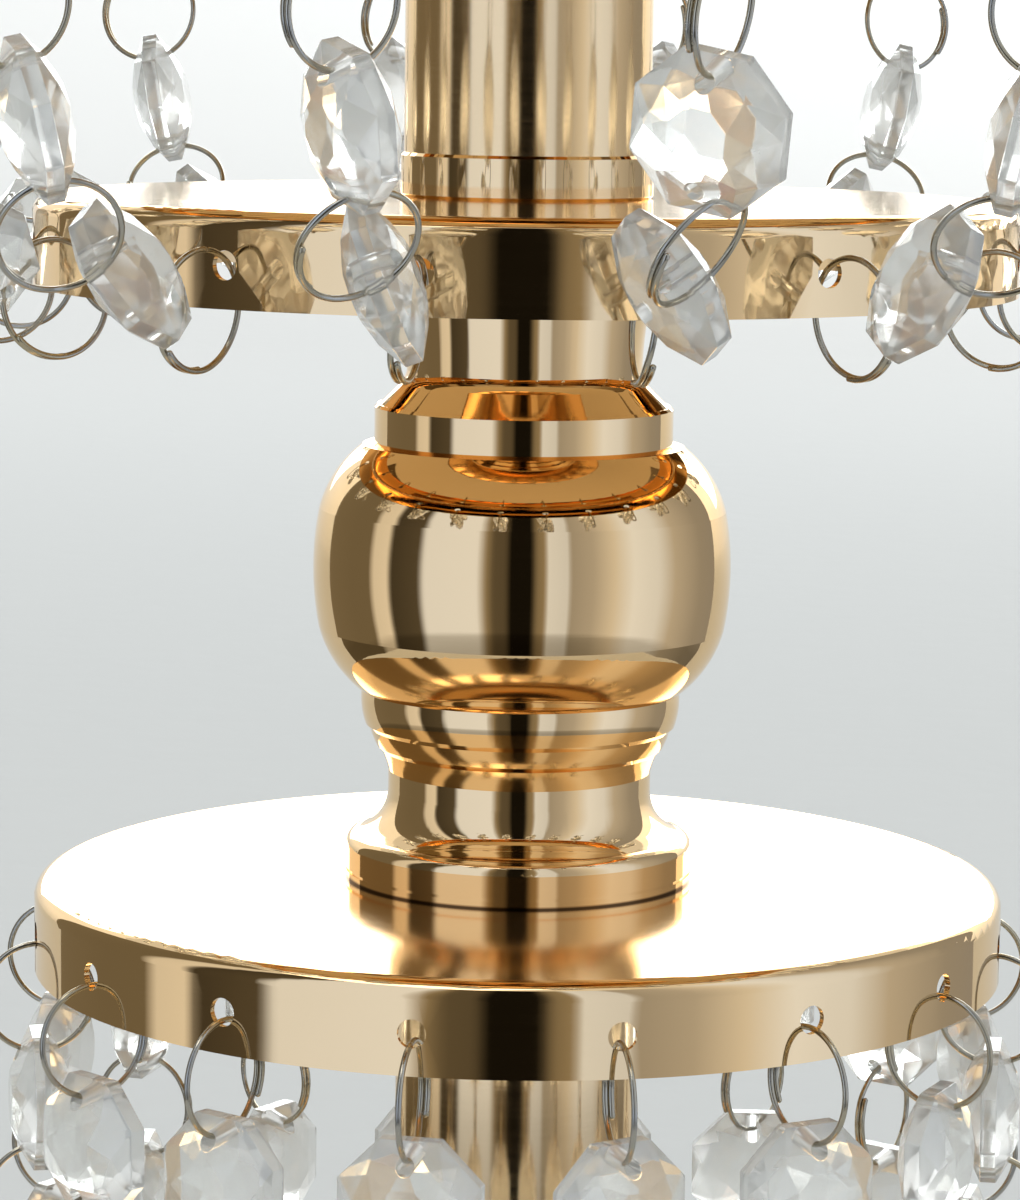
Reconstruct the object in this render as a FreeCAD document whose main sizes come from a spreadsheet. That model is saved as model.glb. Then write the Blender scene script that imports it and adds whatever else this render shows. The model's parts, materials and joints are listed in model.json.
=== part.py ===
import FreeCAD, Part
import math
import os
import Sketcher

# Tiered cake stand: a cake plate and two small discs on one column, hung with crystal strands.
#
# Millimetres, +Z up. The origin is on the table, under the middle of the foot.
# A tie rod runs up through the foot, the tubes, the discs and the baluster into a boss under the
# cake plate, and one nut inside the foot clamps the whole stack. Sixteen strands hang straight
# down from the lower disc's rim. Sixteen garlands run from the cake plate's rim in to the upper
# disc's rim. Each strand is a chain of wire rings and octagonal glass beads.

# Each driving size is written once, here: (alias, value, what it is).
SIZES = [
    ("strand_count", 16, "strands round each rim"),
    # Column
    ("tube_diameter", 25.4, "outside of both tubes"),
    ("tube_wall", 1.0, "wall of both tubes"),
    ("rod_diameter", 8.0, "tie rod over its threads"),
    ("rod_clearance", 0.25, "gap round the tie rod in the pieces that it passes through"),
    ("thread_clearance", 0.05, "gap that stands for the threads in the nut, the boss and the screws"),
    ("spigot_clearance", 0.15, "gap between a tube and the spigot or bush inside it"),
    ("collar_proud", 0.3, "how far a collar stands out beyond its tube"),
    ("collar_height", 4.5, "height of a collar"),
    ("collar_edge", 0.3, "bevel on a collar's edges"),
    ("spigot_length", 6.0, "how far a collar's spigot reaches into its tube"),
    ("bush_length", 12.0, "length of a tube bush"),
    # Tiers
    ("lower_disc_level", 130.0, "lower disc's top face above the table"),
    ("disc_spacing", 71.0, "from the lower disc's top face to the upper disc's"),
    ("plate_spacing", 73.0, "from the upper disc's top face to the cake plate's"),
    # Discs
    ("disc_diameter", 101.2, "outside of both discs"),
    ("disc_sheet", 0.6, "metal thickness of both discs"),
    ("disc_rim_height", 9.2, "height of a disc over its turned-down rim"),
    ("disc_edge_radius", 1.8, "outside radius where a disc turns down"),
    ("disc_hole_margin", 4.1, "rim holes above a disc's lower edge"),
    ("rim_hole_diameter", 2.8, "holes in every rim"),
    # Cake plate
    ("plate_diameter", 176.0, "outside of the cake plate"),
    ("plate_sheet", 1.0, "metal thickness of the cake plate"),
    ("plate_rim_height", 10.0, "height of the cake plate over its turned-down rim"),
    ("plate_edge_radius", 2.5, "outside radius where the cake plate turns down"),
    ("plate_hole_margin", 4.4, "rim holes above the cake plate's lower edge"),
    ("boss_flange_diameter", 42.0, "flange of the boss under the plate"),
    ("boss_flange_height", 3.0, "thickness of that flange"),
    ("boss_hub_diameter", 16.0, "threaded hub of the boss"),
    ("boss_hub_length", 14.0, "length of the hub below its flange"),
    ("boss_edge", 0.8, "bevel on the flange's lower edge"),
    ("rod_end_bevel", 0.8, "bevel on both ends of the tie rod"),
    ("rod_end_gap", 1.0, "rod's upper end below the bottom of its threaded hole"),
    # Baluster, from the lower disc up
    ("shell_wall", 1.2, "wall of the spun pieces"),
    ("shell_cap", 1.5, "thickness of their ends"),
    ("flange_diameter", 36.3, "flange that stands on the lower disc"),
    ("flange_height", 3.4, "straight side of that flange"),
    ("groove_level", 0.8, "groove round the flange above the disc"),
    ("groove_width", 0.3, "width and depth of that groove"),
    ("flange_edge_radius", 1.4, "round that leads from the flange to the hollow curve"),
    ("spool_radius", 4.8, "hollow curve above the flange"),
    ("waist_diameter", 27.5, "narrowest place above the flange"),
    ("foot_piece_height", 11.3, "flange and spool together"),
    ("waist_land", 2.0, "straight length at the waist"),
    ("cup_height", 8.5, "stepped bell"),
    ("cup_first_step_level", 2.1, "first step above the waist"),
    ("cup_first_step_diameter", 29.0, "bell below the first step"),
    ("cup_second_step_level", 4.4, "second step above the waist"),
    ("cup_second_step_diameter", 31.4, "bell below the second step"),
    ("cup_step", 0.5, "width and height of each step"),
    ("cup_mouth_diameter", 33.2, "bell under the ball"),
    ("cup_curve_radius", 8.0, "curves of the bell"),
    ("ball_height", 25.6, "ball between its flat ends"),
    ("ball_diameter", 43.5, "ball at its middle"),
    ("ball_end_diameter", 33.4, "flat ends of the ball"),
    ("ball_side_diameter", 42.3, "ball where its side meets its shoulders"),
    ("ball_shoulder_height", 6.6, "height of each shoulder"),
    ("ball_shoulder_radius", 12.0, "curve of each shoulder"),
    ("ring_diameter", 31.0, "plain band above the ball"),
    ("ring_height", 4.2, "height of the band"),
    ("ring_edge", 0.3, "bevel on the band's edges"),
    ("cone_diameter", 30.0, "foot of the cone above the band"),
    ("cone_height", 2.1, "height of the cone"),
    ("cone_run_out", 0.7, "width of the curve between cone and neck"),
    ("neck_diameter", 24.4, "narrowest place of the neck"),
    ("neck_foot_radius", 2.4, "curve between cone and neck"),
    ("neck_head_diameter", 27.4, "head of the neck under the upper disc"),
    ("neck_head_height", 6.5, "straight height of that head"),
    ("neck_flare_radius", 45.0, "long curve of the neck"),
    # Foot
    ("foot_diameter", 156.0, "outside of the foot"),
    ("foot_level", 24.0, "foot's seat above the table"),
    ("foot_seat_diameter", 38.0, "flat seat under the lower collar"),
    ("foot_rim_height", 8.0, "foot's rim"),
    ("foot_rim_lift", 1.5, "rim's lower edge above the table"),
    ("foot_edge_radius", 3.0, "outside radius at the top of the rim"),
    ("foot_sweep_radius", 150.0, "hollow sweep from the rim up to the seat"),
    ("foot_sheet", 1.0, "metal thickness of the foot"),
    ("weight_gap", 0.5, "gap between the cast weight and the foot's shell"),
    ("weight_hub_diameter", 34.0, "hub of the weight, under the seat"),
    ("counterbore_diameter", 24.0, "recess for the nut and washer"),
    ("counterbore_depth", 10.0, "depth of that recess"),
    ("washer_diameter", 17.0, "washer"),
    ("washer_height", 1.6, "washer thickness"),
    ("nut_across_flats", 13.0, "nut"),
    ("nut_height", 6.5, "nut thickness"),
    ("rod_tail", 1.1, "rod below the nut"),
    ("cover_sheet", 0.8, "thickness of the cover under the foot"),
    ("cover_gap", 0.3, "gap round the cover"),
    ("pad_count", 4, "rubber feet"),
    ("pad_diameter", 14.0, "rubber foot"),
    ("pad_height", 2.4, "rubber foot thickness"),
    ("pad_edge", 0.5, "rounded lower edge of a rubber foot"),
    ("pad_circle", 128.0, "circle through the rubber feet"),
    ("screw_count", 3, "screws that hold the cover"),
    ("screw_diameter", 4.0, "screw over its threads"),
    ("screw_length", 4.6, "screw under its head"),
    ("screw_tip_gap", 0.4, "how far a screw's hole runs on beyond its tip"),
    ("screw_head_diameter", 7.5, "screw head"),
    ("screw_head_height", 1.7, "screw head thickness"),
    ("screw_head_edge", 0.6, "rounded edge of a screw head"),
    ("screw_circle", 96.0, "circle through the screws"),
    # Strands
    ("wire_diameter", 0.6, "wire of the rings"),
    ("link_diameter", 12.0, "outside of a ring"),
    ("bead_width", 14.0, "octagonal bead over its flats"),
    ("bead_height", 6.0, "bead through its two flat faces"),
    ("bead_edge_height", 1.6, "bead through its edge"),
    ("bead_face_width", 5.4, "flat face over its flats"),
    ("bead_hole_spacing", 9.6, "between a bead's two holes"),
    ("bead_hole_diameter", 1.8, "a bead's holes"),
    ("bead_slack", 0.1, "gap between a ring's wire and the side of a bead's hole"),
    ("bead_sides", 8, "sides of a bead"),
    ("strand_beads", 4, "beads on every strand"),
    ("wire_rest_gap", 0.35, "gap under a hanging wire in its rim hole"),
]

PARTS_FOLDER = "parts"
NAME_LIMIT = 59
FULL_TURN = 360.0
QUARTER_TURN = 90.0
NUT_SIDES = 6

# The search for a garland's shape.
SOLVER_ROUNDS = 200
SOLVER_CLOSE = 1e-9
SOLVER_STEP = 1e-6
SOLVER_CAUTION = 0.3

doc = FreeCAD.newDocument("cake_stand")
sheet = doc.addObject("Spreadsheet::Sheet", "Sizes")
for row, (alias, number, note) in enumerate(SIZES, start=1):
    sheet.set(f"A{row}", alias)
    sheet.set(f"B{row}", str(number))
    sheet.set(f"C{row}", note)
    sheet.setAlias(f"B{row}", alias)
doc.recompute()

pieces = []


def size(expression):
    """The number that an expression over the sheet stands for."""
    return float(sheet.evalExpression(expression))


def half(alias):
    """Half of one named size, as an expression."""
    return f"(Sizes.{alias} / 2)"


# Heights that follow from the sheet, as expressions.
PLATE_LEVEL = "(Sizes.lower_disc_level + Sizes.disc_spacing + Sizes.plate_spacing)"
UPPER_DISC_LEVEL = "(Sizes.lower_disc_level + Sizes.disc_spacing)"
LOWER_DISC_LEVEL = "Sizes.lower_disc_level"
LOWER_TUBE_FOOT = "(Sizes.foot_level + Sizes.collar_height)"
LOWER_TUBE_HEAD = f"({LOWER_DISC_LEVEL} - Sizes.disc_sheet)"
UPPER_TUBE_FOOT = f"({UPPER_DISC_LEVEL} + Sizes.collar_height)"
UPPER_TUBE_HEAD = f"({PLATE_LEVEL} - Sizes.plate_sheet - Sizes.boss_flange_height)"
CUP_FOOT = f"({LOWER_DISC_LEVEL} + Sizes.foot_piece_height)"
BALL_FOOT = f"({CUP_FOOT} + Sizes.cup_height)"
RING_FOOT = f"({BALL_FOOT} + Sizes.ball_height)"
NECK_FOOT = f"({RING_FOOT} + Sizes.ring_height)"
NECK_HEIGHT = f"({UPPER_DISC_LEVEL} - Sizes.disc_sheet - {NECK_FOOT})"
COVER_TOP = "(Sizes.pad_height + Sizes.cover_sheet)"
COUNTERBORE_TOP = f"({COVER_TOP} + Sizes.counterbore_depth)"
NUT_FOOT = f"({COUNTERBORE_TOP} - Sizes.washer_height - Sizes.nut_height)"
ROD_FOOT = f"({NUT_FOOT} - Sizes.rod_tail)"
ROD_HEAD = f"({UPPER_TUBE_HEAD} - Sizes.rod_end_gap)"

# Radii that mating pieces share, as expressions.
ROD_HOLE = f"({half('rod_diameter')} + Sizes.rod_clearance)"
THREADED_HOLE = f"({half('rod_diameter')} + Sizes.thread_clearance)"
TUBE_BORE = f"({half('tube_diameter')} - Sizes.tube_wall)"
PLUG_RADIUS = f"({TUBE_BORE} - Sizes.spigot_clearance)"
COLLAR_RADIUS = f"({half('tube_diameter')} + Sizes.collar_proud)"


# --- Building blocks -------------------------------------------------------------------------

def new_body(name, level="0"):
    """A body whose local zero stands at the given height on the axis."""
    body = doc.addObject("PartDesign::Body", name)
    body.Label = name
    body.setExpression("Placement.Base.z", level)
    pieces.append(body)
    return body


def new_template(name):
    """A body that is only copied into a group."""
    body = doc.addObject("PartDesign::Body", name)
    body.Label = name
    return body


def origin_feature(body, role):
    """One of the body's own origin planes or axes."""
    return next(item for item in body.Origin.OriginFeatures if item.Role == role)


def new_sketch(body, name, role="XZ_Plane", offset=None):
    """A sketch on one of the body's own origin planes, moved off it by an expression."""
    sketch = body.newObject("Sketcher::SketchObject", name)
    sketch.AttachmentSupport = [(origin_feature(body, role), "")]
    sketch.MapMode = "FlatFace"
    if offset:
        sketch.setExpression("AttachmentOffset.Base.z", offset)
    return sketch


def fix_point(sketch, geometry, end, across, up):
    """Holds one point of a sketch at two expressions; a "0" puts it on that axis."""
    if across == "0":
        sketch.addConstraint(Sketcher.Constraint("PointOnObject", geometry, end, -2))
    else:
        place = Sketcher.Constraint("DistanceX", -1, 1, geometry, end, size(across))
        sketch.setExpression(f"Constraints[{sketch.addConstraint(place)}]", across)
    if up == "0":
        sketch.addConstraint(Sketcher.Constraint("PointOnObject", geometry, end, -1))
    else:
        place = Sketcher.Constraint("DistanceY", -1, 1, geometry, end, size(up))
        sketch.setExpression(f"Constraints[{sketch.addConstraint(place)}]", up)


def arc_between(start, end, radius, turns_left):
    """The short arc from start to end, as a counter-clockwise curve."""
    chord = end.sub(start)
    reach = math.sqrt(radius ** 2 - (chord.Length / 2) ** 2)
    side = FreeCAD.Vector(-chord.y, chord.x, 0).normalize()
    centre = (start + end) * 0.5 + side * (reach if turns_left else -reach)
    first, last = (start, end) if turns_left else (end, start)
    begin = math.atan2(first.y - centre.y, first.x - centre.x)
    finish = math.atan2(last.y - centre.y, last.x - centre.x)
    circle = Part.Circle(centre, FreeCAD.Vector(0, 0, 1), radius)
    return Part.ArcOfCircle(circle, begin, finish if finish > begin else finish + 2 * math.pi)


def draw_outline(sketch, steps):
    """A closed outline through steps of (radius, height) or (radius, height, bend, turn).

    The two-part form is a straight line to that point. The four-part form is an arc to it of
    radius bend, where turn is "left" or "right" as seen travelling along the outline.
    """
    points = [FreeCAD.Vector(size(step[0]), size(step[1]), 0) for step in steps]
    ends = []
    for index, step in enumerate(steps):
        start = points[index - 1]
        end = points[index]
        if len(step) == 2:
            geometry = sketch.addGeometry(Part.LineSegment(start, end), False)
            ends.append((geometry, 1, 2))
            continue
        turns_left = step[3] == "left"
        geometry = sketch.addGeometry(arc_between(start, end, size(step[2]), turns_left), False)
        bend = Sketcher.Constraint("Radius", geometry, size(step[2]))
        sketch.setExpression(f"Constraints[{sketch.addConstraint(bend)}]", step[2])
        ends.append((geometry, 1, 2) if turns_left else (geometry, 2, 1))
    for index, step in enumerate(steps):
        geometry, _, last = ends[index]
        following, first, _ = ends[(index + 1) % len(ends)]
        sketch.addConstraint(Sketcher.Constraint("Coincident", geometry, last, following, first))
        fix_point(sketch, geometry, last, step[0], step[1])


def revolve(body, name, steps):
    """Turns an outline round the axis: the body's first solid."""
    sketch = new_sketch(body, f"{name}_outline")
    draw_outline(sketch, steps)
    feature = body.newObject("PartDesign::Revolution", f"{name}_turning")
    feature.Profile = sketch
    feature.ReferenceAxis = (sketch, ["V_Axis"])
    feature.Angle = FULL_TURN
    doc.recompute()
    return feature


def hollow(body, name, steps):
    """Cuts a turned cavity out of a body and checks that metal went."""
    before = body.Shape.Volume
    sketch = new_sketch(body, f"{name}_cavity")
    draw_outline(sketch, steps)
    feature = body.newObject("PartDesign::Groove", f"{name}_hollow")
    feature.Profile = sketch
    feature.ReferenceAxis = (sketch, ["V_Axis"])
    feature.Angle = FULL_TURN
    doc.recompute()
    check_removed(body, before, name)
    return feature


def check_removed(body, before, name):
    """Stops the build when a cut took nothing away."""
    if not body.Shape.Volume < before:
        raise RuntimeError(f"the cut in {name} removed nothing")


def draw_circle(sketch, radius, across="0"):
    """A circle of a given radius on the sketch's first axis."""
    centre = FreeCAD.Vector(size(across), 0, 0)
    circle = Part.Circle(centre, FreeCAD.Vector(0, 0, 1), size(radius))
    geometry = sketch.addGeometry(circle, False)
    bend = Sketcher.Constraint("Radius", geometry, size(radius))
    sketch.setExpression(f"Constraints[{sketch.addConstraint(bend)}]", radius)
    fix_point(sketch, geometry, 3, across, "0")


def repeat_round(body, feature, name, count):
    """Repeats a feature evenly round the body's own vertical axis."""
    pattern = body.newObject("PartDesign::PolarPattern", f"{name}_pattern")
    pattern.Originals = [feature]
    pattern.Axis = (origin_feature(body, "Z_Axis"), [""])
    pattern.Angle = FULL_TURN
    pattern.setExpression("Occurrences", count)
    body.Tip = pattern
    doc.recompute()
    return pattern


def drill_round(body, name, radius, circle_radius, count, depth, start="0"):
    """Drills upright holes on a circle, upwards from a given height."""
    before = body.Shape.Volume
    sketch = new_sketch(body, f"{name}_circle", "XY_Plane", start)
    draw_circle(sketch, radius, circle_radius)
    feature = body.newObject("PartDesign::Pocket", f"{name}_hole")
    feature.Profile = sketch
    feature.Reversed = True
    feature.setExpression("Length", depth)
    doc.recompute()
    check_removed(body, before, name)
    repeat_round(body, feature, name, count)


def drill_rim(body, name, level, reach):
    """Drills the strand holes out through a turned-down rim, at a given local height."""
    before = body.Shape.Volume
    sketch = new_sketch(body, f"{name}_circle", "YZ_Plane")
    radius = half("rim_hole_diameter")
    circle = Part.Circle(FreeCAD.Vector(0, size(level), 0), FreeCAD.Vector(0, 0, 1), size(radius))
    geometry = sketch.addGeometry(circle, False)
    bend = Sketcher.Constraint("Radius", geometry, size(radius))
    sketch.setExpression(f"Constraints[{sketch.addConstraint(bend)}]", radius)
    fix_point(sketch, geometry, 3, "0", level)
    feature = body.newObject("PartDesign::Pocket", f"{name}_hole")
    feature.Profile = sketch
    feature.Reversed = True
    feature.setExpression("Length", reach)
    doc.recompute()
    check_removed(body, before, name)
    repeat_round(body, feature, name, "Sizes.strand_count")


def turn_half_pitch(body):
    """Turns a body so that its rim holes fall either side of the front."""
    body.setExpression("Placement.Rotation.Angle", "180 / Sizes.strand_count")


def group_round(name, shape, radius, level, count):
    """One node of separate equal solids, evenly round the axis from +X on."""
    number = int(size(count))
    copies = []
    for index in range(number):
        turn = FreeCAD.Rotation(FreeCAD.Vector(0, 0, 1), FULL_TURN * index / number)
        copy = shape.copy()
        place = turn.multVec(FreeCAD.Vector(size(radius), 0, size(level)))
        copy.Placement = FreeCAD.Placement(place, turn)
        copies.append(copy)
    group = doc.addObject("Part::Feature", name)
    group.Label = name
    group.Shape = Part.makeCompound(copies)
    pieces.append(group)


# --- Foot ------------------------------------------------------------------------------------

def build_foot_shell():
    """Spun shell: a turned-down rim, a hollow sweep and a flat seat for the column."""
    body = new_body("foot_shell", "Sizes.foot_rim_lift")
    rim = half("foot_diameter")
    seat = half("foot_seat_diameter")
    seat_level = "(Sizes.foot_level - Sizes.foot_rim_lift)"
    shoulder = "(Sizes.foot_rim_height - Sizes.foot_edge_radius)"
    edge = f"({rim} - Sizes.foot_edge_radius)"
    revolve(body, "foot_shell", [
        (ROD_HOLE, seat_level),
        (ROD_HOLE, f"({seat_level} - Sizes.foot_sheet)"),
        (seat, f"({seat_level} - Sizes.foot_sheet)"),
        (edge, "(Sizes.foot_rim_height - Sizes.foot_sheet)",
         "(Sizes.foot_sweep_radius + Sizes.foot_sheet)", "left"),
        (f"({rim} - Sizes.foot_sheet)", shoulder,
         "(Sizes.foot_edge_radius - Sizes.foot_sheet)", "right"),
        (f"({rim} - Sizes.foot_sheet)", "0"),
        (rim, "0"),
        (rim, shoulder),
        (edge, "Sizes.foot_rim_height", "Sizes.foot_edge_radius", "left"),
        (seat, seat_level, "Sizes.foot_sweep_radius", "right"),
    ])


def build_foot_weight():
    """Cast weight: a ring inside the rim and a hub that carries the clamping load to the seat."""
    body = new_body("foot_weight", COVER_TOP)
    outside = f"({half('foot_diameter')} - Sizes.foot_edge_radius - Sizes.foot_sheet)"
    ring_top = ("(Sizes.foot_rim_lift + Sizes.foot_rim_height - Sizes.foot_sheet"
                f" - Sizes.weight_gap - {COVER_TOP})")
    hub = half("weight_hub_diameter")
    hub_top = f"(Sizes.foot_level - Sizes.foot_sheet - {COVER_TOP})"
    recess = half("counterbore_diameter")
    revolve(body, "foot_weight", [
        (ROD_HOLE, hub_top),
        (ROD_HOLE, "Sizes.counterbore_depth"),
        (recess, "Sizes.counterbore_depth"),
        (recess, "0"),
        (outside, "0"),
        (outside, ring_top),
        (hub, ring_top),
        (hub, hub_top),
    ])
    drill_round(body, "foot_weight", f"({half('screw_diameter')} + Sizes.thread_clearance)",
                half("screw_circle"), "Sizes.screw_count",
                "(Sizes.screw_length - Sizes.cover_sheet + Sizes.screw_tip_gap)")


def build_foot_cover():
    """Sheet cover that closes the foot, with holes for its screws."""
    body = new_body("foot_cover", "Sizes.pad_height")
    sketch = new_sketch(body, "foot_cover_outline", "XY_Plane")
    draw_circle(sketch, f"({half('foot_diameter')} - Sizes.foot_sheet - Sizes.cover_gap)")
    plate = body.newObject("PartDesign::Pad", "foot_cover_plate")
    plate.Profile = sketch
    plate.setExpression("Length", "Sizes.cover_sheet")
    doc.recompute()
    drill_round(body, "foot_cover", f"({half('screw_diameter')} + Sizes.rod_clearance)",
                half("screw_circle"), "Sizes.screw_count", "Sizes.cover_sheet")


def build_cover_screws():
    """Pan-head screws, up through the cover into the weight."""
    body = new_template("cover_screw")
    head = half("screw_head_diameter")
    shank = half("screw_diameter")
    revolve(body, "cover_screw", [
        ("0", "(Sizes.screw_head_height + Sizes.screw_length)"),
        ("0", "0"),
        (f"({head} - Sizes.screw_head_edge)", "0"),
        (head, "Sizes.screw_head_edge", "Sizes.screw_head_edge", "left"),
        (head, "Sizes.screw_head_height"),
        (shank, "Sizes.screw_head_height"),
        (shank, "(Sizes.screw_head_height + Sizes.screw_length)"),
    ])
    group_round("cover_screws", body.Shape, half("screw_circle"),
                "(Sizes.pad_height - Sizes.screw_head_height)", "Sizes.screw_count")


def build_rubber_feet():
    """Round rubber pads under the cover."""
    body = new_template("rubber_foot")
    side = half("pad_diameter")
    revolve(body, "rubber_foot", [
        ("0", "Sizes.pad_height"),
        ("0", "0"),
        (f"({side} - Sizes.pad_edge)", "0"),
        (side, "Sizes.pad_edge", "Sizes.pad_edge", "left"),
        (side, "Sizes.pad_height"),
    ])
    group_round("rubber_feet", body.Shape, half("pad_circle"), "0", "Sizes.pad_count")


# --- Tie rod ---------------------------------------------------------------------------------

def build_tie_rod():
    """Rod with bevelled ends, its threads shown at their outside diameter."""
    body = new_body("tie_rod", ROD_FOOT)
    side = half("rod_diameter")
    length = f"({ROD_HEAD} - {ROD_FOOT})"
    revolve(body, "tie_rod", [
        ("0", length),
        ("0", "0"),
        (f"({side} - Sizes.rod_end_bevel)", "0"),
        (side, "Sizes.rod_end_bevel"),
        (side, f"({length} - Sizes.rod_end_bevel)"),
        (f"({side} - Sizes.rod_end_bevel)", length),
    ])


def build_rod_washer():
    """Flat washer against the top of the weight's recess."""
    body = new_body("rod_washer", f"({COUNTERBORE_TOP} - Sizes.washer_height)")
    revolve(body, "rod_washer", [
        (ROD_HOLE, "Sizes.washer_height"),
        (ROD_HOLE, "0"),
        (half("washer_diameter"), "0"),
        (half("washer_diameter"), "Sizes.washer_height"),
    ])


def build_rod_nut():
    """Hexagon nut under the washer."""
    blank = doc.addObject("Part::Prism", "rod_nut_blank")
    blank.Polygon = NUT_SIDES
    blank.setExpression("Circumradius", f"Sizes.nut_across_flats / (2 * cos(180 / {NUT_SIDES}))")
    blank.setExpression("Height", "Sizes.nut_height")
    thread = doc.addObject("Part::Cylinder", "rod_nut_thread")
    thread.setExpression("Radius", THREADED_HOLE)
    thread.setExpression("Height", "Sizes.nut_height")
    nut = doc.addObject("Part::Cut", "rod_nut")
    nut.Base = blank
    nut.Tool = thread
    nut.Label = "rod_nut"
    nut.setExpression("Placement.Base.z", NUT_FOOT)
    pieces.append(nut)


# --- Column ----------------------------------------------------------------------------------

def build_collar(name, level):
    """Turned collar with a spigot that centres the tube standing on it."""
    body = new_body(name, level)
    top = "Sizes.collar_height"
    revolve(body, name, [
        (ROD_HOLE, f"({top} + Sizes.spigot_length)"),
        (ROD_HOLE, "0"),
        (f"({COLLAR_RADIUS} - Sizes.collar_edge)", "0"),
        (COLLAR_RADIUS, "Sizes.collar_edge"),
        (COLLAR_RADIUS, f"({top} - Sizes.collar_edge)"),
        (f"({COLLAR_RADIUS} - Sizes.collar_edge)", top),
        (PLUG_RADIUS, top),
        (PLUG_RADIUS, f"({top} + Sizes.spigot_length)"),
    ])


def build_tube(name, foot, head):
    """Plain tube between two levels."""
    body = new_body(name, foot)
    length = f"({head} - {foot})"
    revolve(body, name, [
        (TUBE_BORE, length),
        (TUBE_BORE, "0"),
        (half("tube_diameter"), "0"),
        (half("tube_diameter"), length),
    ])


def build_bush(name, head, bore):
    """Plug that centres a tube's upper end, flush with it."""
    body = new_body(name, f"({head} - Sizes.bush_length)")
    revolve(body, name, [
        (bore, "Sizes.bush_length"),
        (bore, "0"),
        (PLUG_RADIUS, "0"),
        (PLUG_RADIUS, "Sizes.bush_length"),
    ])


# --- Discs and cake plate --------------------------------------------------------------------

def pressed_disc(body, name, radius, bore, kind):
    """Flat sheet with a turned-down rim; kind names its sizes in the sheet."""
    height = f"Sizes.{kind}_rim_height"
    metal = f"Sizes.{kind}_sheet"
    bend = f"Sizes.{kind}_edge_radius"
    revolve(body, name, [
        (bore, height),
        (bore, f"({height} - {metal})"),
        (f"({radius} - {bend})", f"({height} - {metal})"),
        (f"({radius} - {metal})", f"({height} - {bend})", f"({bend} - {metal})", "right"),
        (f"({radius} - {metal})", "0"),
        (radius, "0"),
        (radius, f"({height} - {bend})"),
        (f"({radius} - {bend})", height, bend, "left"),
    ])
    drill_rim(body, name, f"Sizes.{kind}_hole_margin", f"({radius} + {metal})")
    turn_half_pitch(body)


def build_disc(name, level):
    """Small disc, clamped between the column's pieces."""
    body = new_body(name, f"({level} - Sizes.disc_rim_height)")
    pressed_disc(body, name, half("disc_diameter"), ROD_HOLE, "disc")


def build_cake_plate():
    """Cake plate: unbroken on top, with the boss welded under it."""
    body = new_body("cake_plate", f"({PLATE_LEVEL} - Sizes.plate_rim_height)")
    pressed_disc(body, "cake_plate", half("plate_diameter"), "0", "plate")


def build_plate_boss():
    """Flange and threaded hub under the cake plate."""
    body = new_body("plate_boss", f"({UPPER_TUBE_HEAD} - Sizes.boss_hub_length)")
    flange = half("boss_flange_diameter")
    shoulder = "Sizes.boss_hub_length"
    top = f"({shoulder} + Sizes.boss_flange_height)"
    revolve(body, "plate_boss", [
        ("0", top),
        ("0", shoulder),
        (THREADED_HOLE, shoulder),
        (THREADED_HOLE, "0"),
        (half("boss_hub_diameter"), "0"),
        (half("boss_hub_diameter"), shoulder),
        (f"({flange} - Sizes.boss_edge)", shoulder),
        (flange, f"({shoulder} + Sizes.boss_edge)"),
        (flange, top),
    ])


# --- Baluster --------------------------------------------------------------------------------

def hollow_cylinder(body, name, radius, height):
    """Cuts a plain round cavity between a spun piece's two ends."""
    hollow(body, name, [
        ("0", f"({height} - Sizes.shell_cap)"),
        ("0", "Sizes.shell_cap"),
        (radius, "Sizes.shell_cap"),
        (radius, f"({height} - Sizes.shell_cap)"),
    ])


def build_baluster_foot():
    """Flange on the lower disc and the hollow spool above it."""
    body = new_body("baluster_foot", LOWER_DISC_LEVEL)
    flange = half("flange_diameter")
    groove = f"({flange} - Sizes.groove_width)"
    groove_top = "(Sizes.groove_level + Sizes.groove_width)"
    waist = half("waist_diameter")
    height = "Sizes.foot_piece_height"
    rounding = "Sizes.flange_edge_radius"
    revolve(body, "baluster_foot", [
        (ROD_HOLE, height),
        (ROD_HOLE, "0"),
        (flange, "0"),
        (flange, "Sizes.groove_level"),
        (groove, "Sizes.groove_level"),
        (groove, groove_top),
        (flange, groove_top),
        (flange, "Sizes.flange_height"),
        (f"({flange} - {rounding})", f"(Sizes.flange_height + {rounding})", rounding, "left"),
        (waist, f"({height} - Sizes.waist_land)", "Sizes.spool_radius", "right"),
        (waist, height),
    ])
    hollow(body, "baluster_foot", [
        ("0", f"({height} - Sizes.shell_cap)"),
        ("0", "Sizes.shell_cap"),
        (f"({flange} - Sizes.shell_wall - Sizes.shell_cap)", "Sizes.shell_cap"),
        (f"({waist} - Sizes.shell_wall)", "Sizes.flange_height"),
        (f"({waist} - Sizes.shell_wall)", f"({height} - Sizes.shell_cap)"),
    ])


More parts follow.
